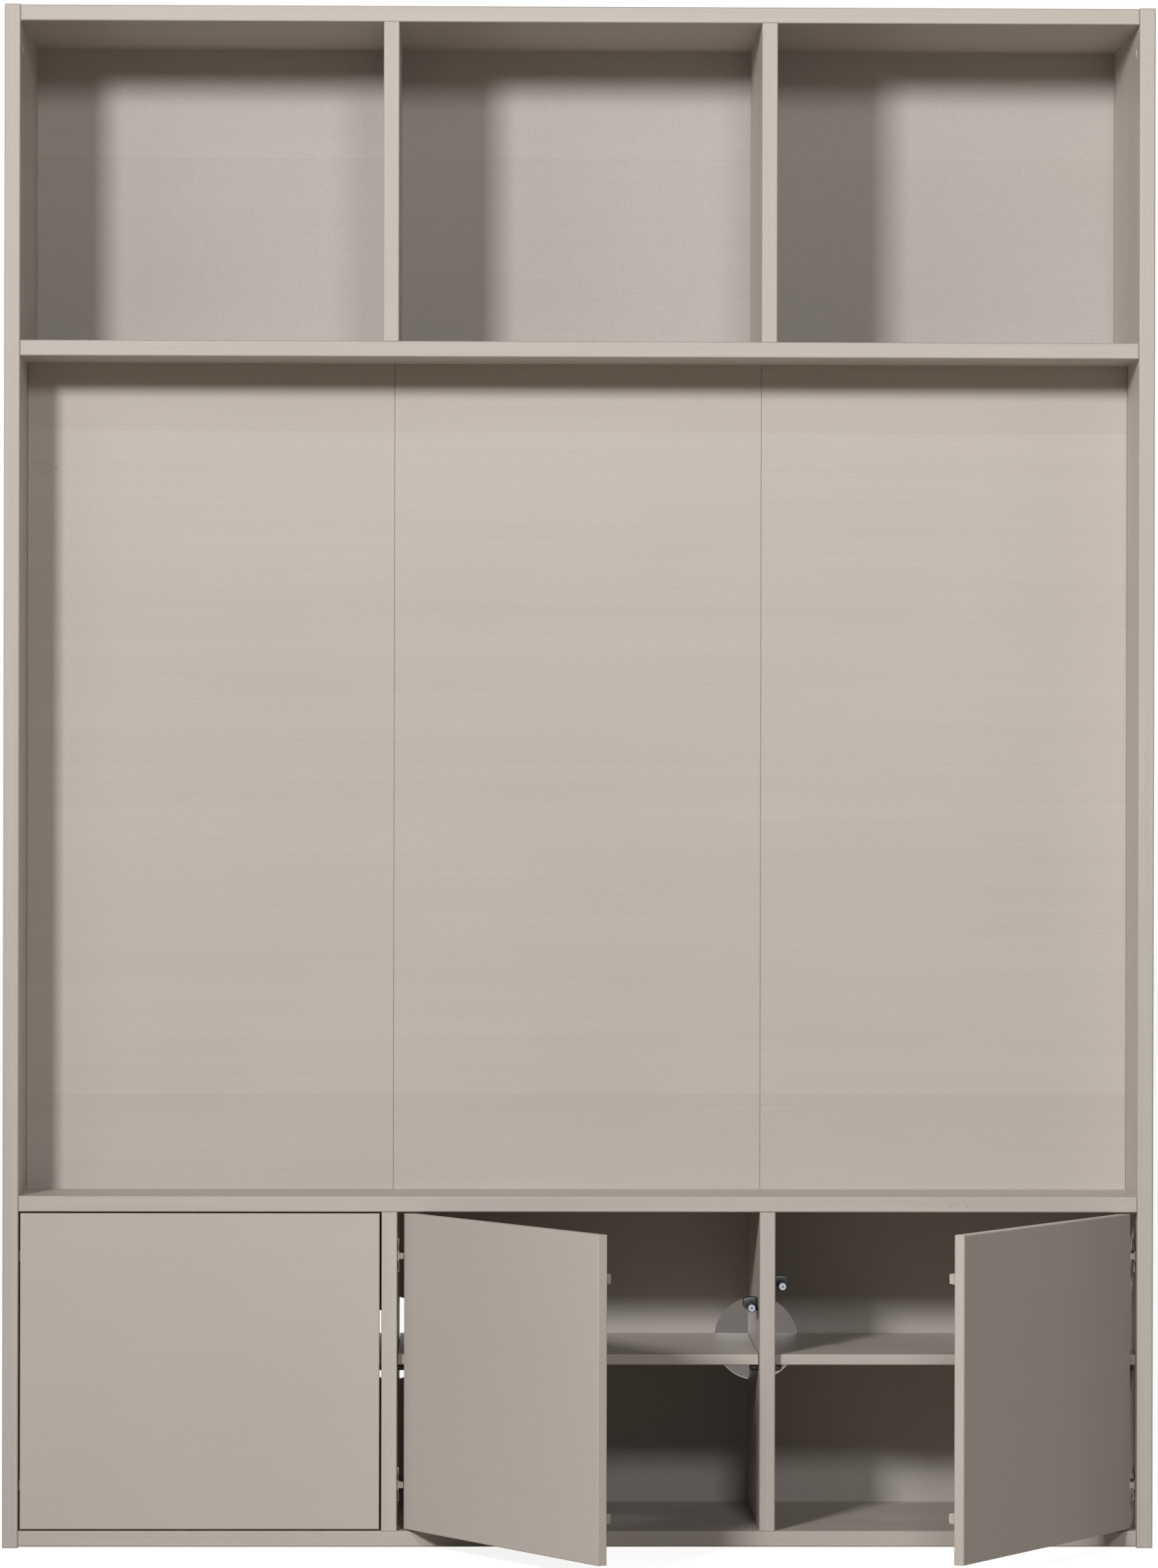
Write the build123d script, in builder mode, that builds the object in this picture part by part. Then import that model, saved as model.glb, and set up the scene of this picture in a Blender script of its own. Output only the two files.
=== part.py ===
from build123d import *

import os

os.makedirs("parts", exist_ok=True)

# Driving sizes of the carcass, in millimetres
bay_count = 3
bay_width = 504.0
board = 22.0
depth = 380.0
back_board = 12.0
cabinet_height = 443.0
niche_height = 1166.0
top_bay_height = 443.0
floor_gap = 2.0
housing = 6.0
housing_stop = 10.0
top_step = 1.0
board_arris = 2.3
small_arris = 1.8

# Media wall, its cleats and the rail that fixes the unit to the room's wall
media_setback = 162.0
media_board = 22.0
media_edge = 1.4
cleat_height = 40.0
cleat_board = 22.0
rail_height = 100.0
rail_board = 18.0
wall_hole_radius = 4.0

# Loose shelves and their pins
shelf_board = 15.0
shelf_rise = 229.0
shelf_setback = 20.0
shelf_back_gap = 2.0
shelf_end_gap = 1.0
pin_front = 62.0
pin_back = 318.0
pin_sides = 8
pin_radius = 2.5
pin_socket = 8.0
pin_head_radius = 5.6
pin_head_length = 11.5
fit_clearance = 0.1

# Cable holes through the lower back panel
cable_hole_radius = 60.0

# Doors
door_thickness = 15.0
door_side_gap = 2.5
door_end_gap = 2.0
door_top_angle = 105.0
middle_open_angle = 58.4
right_open_angle = 58.0
batten_inset = 60.0
batten_height = 16.0
batten_crown = 13.0
batten_depth = 15.0
batten_round = 2.0
batten_free_end = 15.0
batten_hinge_end = 65.0

# Concealed hinge: cup, link, arm and mounting plate
hinge_inset = 60.0
cup_edge = 4.0
cup_radius = 17.4
cup_depth = 11.3
cup_wall = 1.0
cup_bore_clearance = 0.1
flange_rim = 2.1
flange_board = 1.0
flange_width = 20.0
flange_height = 56.0
flange_offset = 7.0
hinge_pin_radius = 1.5
pin_clearance = 0.08
arm_pin_reach = 30.0
arm_pin_depth = 26.0
cup_pin_reach = 10.0
cup_pin_depth = 3.5
link_turn_share = 0.6
link_sheet = 1.6
link_width = 12.0
link_eye_radius = 2.4
link_eye_sides = 8
link_bend_shares = ((0.213, 0.08), (0.667, 0.08), (0.849, 0.39))
arm_width = 16.0
arm_slot_clearance = 0.3
arm_nose_radius = 4.2
arm_height = 5.0
arm_base = 9.0
plate_depth = 37.0
plate_board = 2.5
plate_length = 40.0
plate_spine = 14.0
plate_wing = 13.0
plate_wing_height = 48.0

# Push latch behind each door's free edge: a barrel in a hood that is screwed to the panel
latch_reach = 10.5
latch_barrel_radius = 6.2
latch_barrel_front = 16.0
latch_bore_clearance = 0.3
latch_wall = 2.0
latch_hood_front = 54.0
latch_hood_length = 22.0
latch_hood_rise = 11.7
latch_hood_corner = 5.0
latch_base = 2.5
latch_base_height = 14.0
latch_base_length = 46.0
plunger_radius = 4.8
plunger_length = 44.0
plunger_tip = 0.6
plunger_stroke = 14.0
plunger_clearance = 0.3
latch_height = 309.0
latch_stagger = 30.0

# Cover caps and glides
cap_radius = 7.0
cap_board = 1.4
cap_drop = 35.0
cap_front = 48.0
cap_back = 317.0
glide_width = 20.0
glide_length = 40.0
glide_front = 50.0
glide_back = 330.0

# Overall sizes and the levels of the boards
bay_pitch = bay_width + board
unit_width = bay_count * bay_pitch + board
inner_width = unit_width - 2 * board
bottom_z = floor_gap
cabinet_floor_z = bottom_z + board
cabinet_roof_z = cabinet_floor_z + cabinet_height
niche_floor_z = cabinet_roof_z + board
niche_roof_z = niche_floor_z + niche_height
top_floor_z = niche_roof_z + board
top_roof_z = top_floor_z + top_bay_height
unit_height = top_roof_z + board + top_step
left_x = -unit_width / 2
shelf_z = cabinet_floor_z + shelf_rise
shelf_depth = depth - back_board - shelf_setback - shelf_back_gap

door_width = bay_width - 2 * door_side_gap
door_height = cabinet_height - 2 * door_end_gap
door_middle_z = cabinet_floor_z + cabinet_height / 2
cup_reach = door_side_gap + cup_edge + cup_radius
cup_floor = door_thickness - cup_depth + cup_wall
cup_pin = (door_side_gap + cup_pin_reach, door_thickness - cup_pin_depth)
arm_pin = (arm_pin_reach, arm_pin_depth)
hinge_rises = (-door_height / 2 + hinge_inset, door_height / 2 - hinge_inset)


def bay_left(bay):
    """X of the left side of a bay."""
    return left_x + board + bay * bay_pitch


def hung_frame(face_x, side, front):
    """Plane at the panel face that a door hangs on: x across the bay, y into the cabinet."""
    return Plane(origin=(face_x, front, door_middle_z), x_dir=(side, 0, 0), z_dir=(0, 0, side))


def turned(frame, pivot, angle):
    """The frame turned about an upright pivot that is given in its own x and y."""
    out = Location((pivot[0], pivot[1], 0))
    back = Location((-pivot[0], -pivot[1], 0))
    return Plane(frame.location * out * Location((0, 0, 0), (0, 0, angle)) * back)


def swung_link(frame, angle):
    """Frame of the hinge links when the door stands open by the angle."""
    return turned(frame, arm_pin, link_turn_share * angle)


def swung_door(frame, angle):
    """Frame of the door when it stands open by the angle, carried on its links."""
    return turned(swung_link(frame, angle), cup_pin, -(1 + link_turn_share) * angle)


def facing_back(frame, at_depth, rise=0):
    """Plane across the depth, through a depth and a rise of the frame."""
    origin = frame.from_local_coords((0, at_depth, rise))
    return Plane(origin=origin, x_dir=frame.x_dir, z_dir=frame.y_dir)


def facing_off(face_x, side, level=0):
    """Plane on a panel's upright face, its x into the cabinet times side and its y up."""
    return Plane(origin=(face_x, front_y, level), x_dir=(0, side, 0), z_dir=(side, 0, 0))


# The open doors reach in front of the carcass, and the model is centred on the whole depth
free_corner = (door_side_gap + door_width, 0, 0)
closed_frame = hung_frame(0, 1, 0)
door_reach = max(-swung_door(closed_frame, angle).from_local_coords(free_corner).Y
                 for angle in (middle_open_angle, right_open_angle))
front_y = (door_reach - depth) / 2
back_y = front_y + depth
back_face_y = back_y - back_board
media_y = front_y + media_setback
media_back_y = media_y + media_board


def save(piece, name):
    """Labels a finished piece and writes its STEP file."""
    piece.part.label = name
    export_step(piece.part, f"parts/{name}.step")


def drill(plane, spots, radius, deep):
    """Sinks round holes into the part being built, from the plane against its normal."""
    with BuildSketch(plane) as holes:
        with Locations(*spots):
            Circle(radius)
    extrude(holes.sketch, amount=-deep, mode=Mode.SUBTRACT)


def block(low, high, mode=Mode.ADD):
    """Adds a block between two corners to the part being built, or cuts it away."""
    with BuildSketch(Plane.XY.offset(low[2])) as foot:
        with Locations(((low[0] + high[0]) / 2, (low[1] + high[1]) / 2)):
            Rectangle(high[0] - low[0], high[1] - low[1])
    extrude(foot.sketch, amount=high[2] - low[2], mode=mode)


def front_edges(piece, axis):
    """The edges along an axis on the front of a board."""
    return piece.edges().filter_by(axis).group_by(Axis.Y)[0]


# Boards are glued into stopped housings, which end short of the front edges
board_levels = (bottom_z, cabinet_roof_z, niche_roof_z, top_roof_z)
housing_y = front_y + housing_stop


def board_tongue(level, mode):
    """The full-width board's ends in the side panels' housings."""
    block((left_x + board - housing, housing_y, level),
          (housing - board - left_x, back_y, level + board), mode)


def divider_tongue(bay, ends, mode):
    """A divider's ends in the housings of the boards below and above it."""
    right_face = bay_left(bay)
    block((right_face - board, housing_y, ends[0] - housing),
          (right_face, back_face_y, ends[1] + housing), mode)


# Side panels, with housings for the boards and sockets for the shelf pins
pin_spots = [(spot, shelf_z - pin_head_radius) for spot in (pin_front, pin_back)]
pin_flat_turn = 180 / pin_sides


def mirrored(spots, side):
    """Places on a panel face, with their depth turned for the side that the face looks to."""
    return [(side * spot, level) for spot, level in spots]


def drill_pins(face_x, side):
    """Sockets of the shelf pins in a panel face."""
    with BuildSketch(facing_off(face_x, side)) as sockets:
        with Locations(*mirrored(pin_spots, side)):
            RegularPolygon(pin_radius + fit_clearance, pin_sides, major_radius=False,
                           rotation=pin_flat_turn)
    extrude(sockets.sketch, amount=-(pin_socket + fit_clearance), mode=Mode.SUBTRACT)


for name, side in (("left", 1), ("right", -1)):
    inner_x = side * (left_x + board)
    with BuildPart() as side_panel:
        block((min(inner_x, side * left_x), front_y, 0),
              (max(inner_x, side * left_x), back_y, unit_height))
        fillet(front_edges(side_panel, Axis.Z) + front_edges(side_panel, Axis.X), board_arris)
        for level in board_levels:
            board_tongue(level, Mode.SUBTRACT)
        drill_pins(inner_x, side)
    save(side_panel, f"{name}_side_panel")

# Full-width boards between the side panels, with housings for the dividers
upper_ends = (top_floor_z, top_roof_z)
lower_ends = (cabinet_floor_z, cabinet_roof_z)
for name, level, ends in (
    ("bottom_panel", bottom_z, lower_ends),
    ("cabinet_top", cabinet_roof_z, lower_ends),
    ("upper_shelf", niche_roof_z, upper_ends),
    ("top_panel", top_roof_z, upper_ends),
):
    with BuildPart() as wide_board:
        block((left_x + board, front_y, level), (-left_x - board, back_y, level + board))
        fillet(front_edges(wide_board, Axis.X) + front_edges(wide_board, Axis.Z), board_arris)
        board_tongue(level, Mode.ADD)
        for bay in range(1, bay_count):
            divider_tongue(bay, ends, Mode.SUBTRACT)
    save(wide_board, name)

# Dividers of the upper bays and of the cabinets
for row, ends in (("upper", upper_ends), ("lower", lower_ends)):
    for bay, name in ((1, "left"), (2, "right")):
        right_face = bay_left(bay)
        left_face = right_face - board
        with BuildPart() as divider:
            block((left_face, front_y, ends[0]), (right_face, back_face_y, ends[1]))
            fillet(front_edges(divider, Axis.Z), board_arris)
            divider_tongue(bay, ends, Mode.ADD)
            if row == "lower":
                drill_pins(left_face, -1)
                drill_pins(right_face, 1)
        save(divider, f"{row}_divider_{name}")

# Back panels, let in flush behind the dividers, the lower one with two round cable holes
with BuildPart() as upper_back_panel:
    block((left_x + board, back_face_y, top_floor_z), (-left_x - board, back_y, top_roof_z))
save(upper_back_panel, "upper_back_panel")

behind = Plane(origin=(0, back_y, 0), x_dir=(-1, 0, 0), z_dir=(0, 1, 0))
with BuildPart() as lower_back_panel:
    block((left_x + board, back_face_y, cabinet_floor_z), (-left_x - board, back_y, cabinet_roof_z))
    cable_spots = [
        (-(bay_left(bay) - board / 2), shelf_z + shelf_board / 2) for bay in range(1, bay_count)
    ]
    drill(behind, cable_spots, cable_hole_radius, back_board)
save(lower_back_panel, "lower_back_panel")

# Media wall of equal upright boards, edge to edge, held from behind by two cleats
media_pitch = inner_width / bay_count
for index, name in enumerate(("left", "centre", "right")):
    with BuildPart() as media_wall:
        start = left_x + board + index * media_pitch
        block((start, media_y, niche_floor_z),
              (start + media_pitch, media_back_y, niche_roof_z))
        fillet(front_edges(media_wall, Axis.Z), media_edge)
    save(media_wall, f"media_board_{name}")

for name, level in (("lower", niche_floor_z), ("upper", niche_roof_z - cleat_height)):
    with BuildPart() as cleat:
        block((left_x + board, media_back_y, level),
              (-left_x - board, media_back_y + cleat_board, level + cleat_height))
    save(cleat, f"media_cleat_{name}")

# Rail under the upper shelf, with a hole in the middle of each bay for the wall screws
with BuildPart() as wall_rail:
    block((left_x + board, back_y - rail_board, niche_roof_z - rail_height),
          (-left_x - board, back_y, niche_roof_z))
    rail_spots = [
        (-(bay_left(bay) + bay_width / 2), niche_roof_z - rail_height / 2)
        for bay in range(bay_count)
    ]
    drill(behind, rail_spots, wall_hole_radius, rail_board)
save(wall_rail, "wall_rail")

# Loose shelf in each cabinet, resting on four pins
for bay, name in enumerate(("left", "middle", "right")):
    with BuildPart() as cabinet_shelf:
        start = bay_left(bay) + shelf_end_gap
        block((start, front_y + shelf_setback, shelf_z),
              (start + bay_width - 2 * shelf_end_gap, front_y + shelf_setback + shelf_depth,
               shelf_z + shelf_board))
        fillet(front_edges(cabinet_shelf, Axis.X), small_arris)
    save(cabinet_shelf, f"{name}_cabinet_shelf")

with BuildPart() as shelf_pins:
    for bay in range(bay_count):
        for face_x, side in ((bay_left(bay), 1), (bay_left(bay) + bay_width, -1)):
            for radius, length in ((pin_radius, -pin_socket), (pin_head_radius, pin_head_length)):
                with BuildSketch(facing_off(face_x, side)):
                    with Locations(*mirrored(pin_spots, side)):
                        RegularPolygon(radius, pin_sides, major_radius=False,
                                       rotation=pin_flat_turn)
                extrude(amount=length)
save(shelf_pins, "shelf_pins")

# Flat cover caps stuck on the side panels under the top
cap_spots = [(spot, top_roof_z - cap_drop) for spot in (cap_front, cap_back)]
with BuildPart() as cover_caps:
    for face_x, side in ((left_x + board, 1), (-left_x - board, -1)):
        with BuildSketch(facing_off(face_x, side)):
            with Locations(*mirrored(cap_spots, side)):
                Circle(cap_radius)
        extrude(amount=cap_board)
save(cover_caps, "cover_caps")

# Glides under the bottom panel, below the dividers
with BuildPart() as floor_glides:
    with BuildSketch(Plane.XY):
        with Locations(*[(bay_left(bay) - board / 2, front_y + spot)
                         for bay in range(1, bay_count) for spot in (glide_front, glide_back)]):
            Rectangle(glide_width, glide_length)
    extrude(amount=floor_gap)
save(floor_glides, "floor_glides")


# Concealed hinges: the fixed plates and arms on the panels
hung_doors = (
    ("left", bay_left(0), 1, 0),
    ("middle", bay_left(1), 1, middle_open_angle),
    ("right", bay_left(2) + bay_width, -1, right_open_angle),
)
frames = {name: hung_frame(face_x, side, front_y) for name, face_x, side, angle in hung_doors}
slot_width = link_width + 2 * arm_slot_clearance


def off_panel(frame, rise):
    """Plane on the hinge panel at a rise, its x into the cabinet and its z off the panel."""
    origin = frame.from_local_coords((0, 0, rise))
    return Plane(origin=origin, x_dir=frame.y_dir, z_dir=frame.x_dir)


with BuildPart() as hinge_plates:
    for frame in frames.values():
        for rise in hinge_rises:
            base = off_panel(frame, rise)
            with BuildSketch(base):
                with Locations((plate_depth, 0)):
                    Rectangle(plate_length, plate_spine)
                    Rectangle(plate_wing, plate_wing_height)
            extrude(amount=plate_board)
            with BuildSketch(base.offset(plate_board)):
                with Locations((plate_depth, 0)):
                    Rectangle(plate_length, plate_spine - 2 * plate_board)
            extrude(amount=arm_base - plate_board)
save(hinge_plates, "hinge_plates")

arm_start = arm_pin_depth - arm_nose_radius
arm_end = plate_depth + plate_length / 2
nose_top = arm_pin_reach + arm_nose_radius
nose_back = arm_pin_depth + 2 * arm_nose_radius
slot_reach = arm_nose_radius + fit_clearance
with BuildPart() as hinge_arms:
    for frame in frames.values():
        for rise in hinge_rises:
            middle = frame.offset(rise)
            with BuildSketch(middle.offset(-arm_width / 2)):
                with BuildLine():
                    Polyline(
                        (arm_base, arm_end),
                        (arm_base + arm_height, arm_end),
                        (arm_base + arm_height, plate_depth + arm_height),
                        (nose_top - arm_nose_radius, nose_back),
                        (nose_top, nose_back),
                        (nose_top, arm_start),
                        (arm_pin_reach - arm_nose_radius, arm_start),
                        (arm_base, plate_depth - arm_nose_radius),
                        close=True,
                    )
                make_face()
            extrude(amount=arm_width)
            with BuildSketch(middle.offset(-slot_width / 2)):
                with Locations(arm_pin):
                    Rectangle(2 * slot_reach, 2 * arm_nose_radius + fit_clearance)
            extrude(amount=slot_width, mode=Mode.SUBTRACT)
            with BuildSketch(middle.offset(-arm_width / 2)):
                with Locations(arm_pin):
                    Circle(hinge_pin_radius)
            extrude(amount=arm_width)
save(hinge_arms, "hinge_arms")


# Push latch housings and plungers, one behind each door's free edge
latches = {
    "left": (bay_left(0) + bay_width, -1, latch_height),
    "middle": (bay_left(1) + bay_width, -1, latch_height),
    "right": (bay_left(2), 1, latch_height + latch_stagger),
}


def latch_frame(name):
    """Plane at the front of the panel face beside a latch: x off the panel, y inwards."""
    face_x, side, rise = latches[name]
    origin = (face_x, front_y, cabinet_floor_z + rise)
    return Plane(origin=origin, x_dir=(side, 0, 0), z_dir=(0, 0, side))


hood_height = latch_barrel_radius + latch_hood_rise
hood_lift = (latch_hood_rise - latch_barrel_radius) / 2
latch_back = latch_hood_front + latch_hood_length
with BuildPart() as latch_housings:
    for name, (face_x, side, rise) in latches.items():
        frame = latch_frame(name)
        with BuildSketch(facing_back(frame, latch_barrel_front)):
            with Locations((latch_reach, 0)):
                Circle(latch_barrel_radius)
        extrude(amount=latch_back - latch_barrel_front)
        with BuildSketch(facing_back(frame, latch_hood_front, side * hood_lift)):
            with Locations((latch_reach, 0)):
                outline = Rectangle(2 * latch_reach, hood_height)
            chamfer(outline.vertices(), latch_hood_corner)
        extrude(amount=latch_hood_length)
        with BuildSketch(facing_back(frame, latch_hood_front, side * hood_lift)):
            with Locations((latch_base / 2, 0)):
                Rectangle(latch_base, latch_base_height)
        extrude(amount=latch_base_length)
        with BuildSketch(facing_back(frame, latch_barrel_front)):
            with Locations((latch_reach, 0)):
                Circle(plunger_radius + latch_bore_clearance)
        extrude(amount=latch_back - latch_wall - latch_barrel_front, mode=Mode.SUBTRACT)
save(latch_housings, "latch_housings")


# Each door with its battens, hinge cups, hinge links and latch plunger
def make_leaf(name, frame):
    """Door leaf with every edge eased and two bores for the hinge cups."""
    with BuildPart() as leaf:
        with BuildSketch(frame.offset(-door_height / 2)):
            with Locations((door_side_gap + door_width / 2, door_thickness / 2)):
                Rectangle(door_width, door_thickness)
        extrude(amount=door_height)
        faces = leaf.faces().filter_by(lambda face: face.area > door_height * door_width / 2)
        fillet(faces.edges(), small_arris)
        for rise in hinge_rises:
            back = facing_back(frame, door_thickness, rise)
            drill(back, [(cup_reach, 0)], cup_radius + cup_bore_clearance,
                  cup_depth + cup_bore_clearance)
    save(leaf, f"{name}_door")


def make_battens(name, frame):
    """Two battens glued across the back of the door, their outer face a little narrower."""
    length = door_width - batten_hinge_end - batten_free_end
    with BuildPart() as battens:
        for rise in (-door_height / 2 + batten_inset, door_height / 2 - batten_inset):
            origin = frame.from_local_coords((door_side_gap + batten_hinge_end, door_thickness, rise))
            end = Plane(origin=origin, x_dir=frame.y_dir, z_dir=frame.x_dir)
            with BuildSketch(end):
                with BuildLine():
                    Polyline(
                        (0, -batten_height / 2),
                        (batten_depth, -batten_crown / 2),
                        (batten_depth, batten_crown / 2),
                        (0, batten_height / 2),
                        close=True,
                    )
                make_face()
            extrude(amount=length)
        outer = [edge for edge in battens.edges() if edge.length > length / 2
                 and frame.to_local_coords(edge.center()).Y > door_thickness + batten_depth / 2]
        fillet(outer, batten_round)
    save(battens, f"{name}_door_battens")


def make_cups(name, frame):
    """Pressed hinge cups with their flange and the link's pin across them."""
    with BuildPart() as cups:
        for rise in hinge_rises:
            back = facing_back(frame, door_thickness, rise)
            with BuildSketch(back):
                with Locations((cup_reach + flange_offset, 0)):
                    Rectangle(flange_width, flange_height)
                with Locations((cup_reach, 0)):
                    Circle(cup_radius + flange_rim)
            extrude(amount=flange_board)
            with BuildSketch(back):
                with Locations((cup_reach, 0)):
                    Circle(cup_radius)
            extrude(amount=-cup_depth)
            with BuildSketch(back.offset(flange_board)):
                with Locations((cup_reach, 0)):
                    Circle(cup_radius - cup_wall)
            extrude(amount=-(flange_board + cup_depth - cup_wall), mode=Mode.SUBTRACT)
            inner = cup_radius - cup_wall / 2
            across = cup_reach - cup_pin[0] + hinge_pin_radius
            chord = 2 * (inner**2 - across**2)**(1 / 2)
            with BuildSketch(frame.offset(rise - chord / 2)):
                with Locations(cup_pin):
                    Circle(hinge_pin_radius)
            extrude(amount=chord)
    save(cups, f"{name}_hinge_cups")


def make_links(name, frame):
    """Hooked links of bent sheet, from the arm's pin round the cup's rim to the cup's pin."""
    near = door_side_gap + cup_edge + cup_wall
    wide = arm_pin_reach - near
    deep = arm_pin_depth - cup_floor
    bends = [(near + wide * across, cup_floor + deep * inward)
             for across, inward in link_bend_shares]
    with BuildPart() as links:
        for rise in hinge_rises:
            with BuildSketch(frame.offset(rise - link_width / 2)):
                with BuildLine() as route:
                    Polyline(cup_pin, *bends, arm_pin)
                trace(route.edges(), line_width=link_sheet)
                with Locations(cup_pin, arm_pin):
                    RegularPolygon(link_eye_radius, link_eye_sides, major_radius=False)
                    Circle(hinge_pin_radius + pin_clearance, mode=Mode.SUBTRACT)
            extrude(amount=link_width)
    save(links, f"{name}_hinge_links")


def make_plunger(name, angle):
    """Latch plunger, out of its housing as far as the door lets it."""
    out = plunger_stroke * angle / door_top_angle
    frame = latch_frame(name)
    tip = door_thickness + plunger_clearance - out
    origin = frame.from_local_coords((latch_reach, tip, 0))
    with BuildPart() as plunger:
        with BuildSketch(Plane(origin=origin, x_dir=frame.x_dir, z_dir=frame.z_dir)):
            with BuildLine():
                Polyline(
                    (0, 0),
                    (plunger_radius - plunger_tip, 0),
                    (plunger_radius, plunger_tip),
                    (plunger_radius, plunger_length),
                    (0, plunger_length),
                    close=True,
                )
            make_face()
        revolve(axis=Axis(origin, frame.y_dir))
    save(plunger, f"{name}_latch_plunger")


for name, face_x, side, angle in hung_doors:
    door_frame = swung_door(frames[name], angle)
    make_leaf(name, door_frame)
    make_battens(name, door_frame)
    make_cups(name, door_frame)
    make_links(name, swung_link(frames[name], angle))
    make_plunger(name, angle)
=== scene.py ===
import math

import bmesh
import bpy
from mathutils import Matrix, Vector


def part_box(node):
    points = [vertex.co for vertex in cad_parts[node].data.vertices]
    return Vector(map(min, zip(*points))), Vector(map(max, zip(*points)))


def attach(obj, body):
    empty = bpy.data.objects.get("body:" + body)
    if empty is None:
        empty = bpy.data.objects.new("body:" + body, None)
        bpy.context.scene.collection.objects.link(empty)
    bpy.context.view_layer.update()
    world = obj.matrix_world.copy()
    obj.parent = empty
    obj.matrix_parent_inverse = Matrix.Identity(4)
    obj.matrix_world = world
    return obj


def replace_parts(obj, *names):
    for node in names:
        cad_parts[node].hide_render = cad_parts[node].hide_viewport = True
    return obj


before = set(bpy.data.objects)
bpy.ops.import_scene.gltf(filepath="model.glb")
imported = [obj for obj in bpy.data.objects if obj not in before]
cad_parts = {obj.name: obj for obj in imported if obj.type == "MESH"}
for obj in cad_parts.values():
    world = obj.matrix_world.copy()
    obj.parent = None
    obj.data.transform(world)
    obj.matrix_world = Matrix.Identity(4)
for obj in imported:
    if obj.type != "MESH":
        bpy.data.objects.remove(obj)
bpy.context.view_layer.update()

# The place it stands in: a plain pale floor, and a camera nine metres away, level with the unit's
# middle. One lamp stands high on the left and turns away from the unit, so that it lights both
# ends alike. Softer lamps fill in from the front and from behind.
scene = bpy.context.scene
scene.view_settings.view_transform = "Standard"
side_low, side_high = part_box("left_side_panel")
front_left = Vector((side_low.x, side_low.y, 0))
room_reach = 30


def place_new(name, data):
    """A new object with the given data, in the scene."""
    made = bpy.data.objects.new(name, data)
    scene.collection.objects.link(made)
    return made


camera_offset = Vector((0.6382, -9.0414, 1.0775))
camera_yaw, camera_pitch, camera_roll = 0.0178, -0.0017, 0.0021
photo_height = 2236
focal_pixels = 9281.3
film_height = 24.0

camera_data = bpy.data.cameras.new("studio_camera")
camera_data.sensor_fit = "VERTICAL"
camera_data.sensor_height = film_height
camera_data.lens = focal_pixels * film_height / photo_height
camera_data.clip_end = 2 * room_reach
camera = place_new("studio_camera", camera_data)
looking = Vector((math.sin(camera_yaw), math.cos(camera_yaw), math.tan(camera_pitch))).normalized()
level = Vector((math.cos(camera_yaw), -math.sin(camera_yaw), 0))
upward = level.cross(looking)
rolled = level * math.cos(camera_roll) + upward * math.sin(camera_roll)
crown = upward * math.cos(camera_roll) - level * math.sin(camera_roll)
turn = Matrix((rolled, crown, -looking)).transposed().to_4x4()
camera.matrix_world = Matrix.Translation(front_left + camera_offset) @ turn
scene.camera = camera


def hang_lamp(name, place, bearing, drop, width, height, power, colour=(1, 1, 1)):
    """A soft lamp; its bearing turns from the room's depth to the right, in degrees."""
    data = bpy.data.lights.new(name, "AREA")
    data.shape = "RECTANGLE"
    data.size = width
    data.size_y = height
    data.energy = power
    data.color = colour
    lamp = place_new(name, data)
    lamp.location = front_left + Vector(place)
    lamp.rotation_euler = (math.radians(90 - drop), 0, -math.radians(bearing))
    return lamp


hang_lamp("key_lamp", (-1.31, -4.9, 2.86), 72, 9, 0.95, 0.60, 328)
hang_lamp("front_fill", (1.45, -6.0, 3.2), -5, 6, 0.80, 0.70, 92)
hang_lamp("left_fill", (-2.8, -4.5, 3.3), 38, 18, 1.6, 1.6, 22)
hang_lamp("right_fill", (4.5, -3.0, 2.4), -60, 8, 1.5, 1.5, 11, (1, 0.96, 0.91))
back_lamps = (hang_lamp("back_left", (-3.0, 4.6, 4.2), 139, 27, 2.5, 2.0, 340),
              hang_lamp("back_right", (4.6, 4.6, 4.2), -139, 27, 2.5, 2.0, 340))


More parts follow.
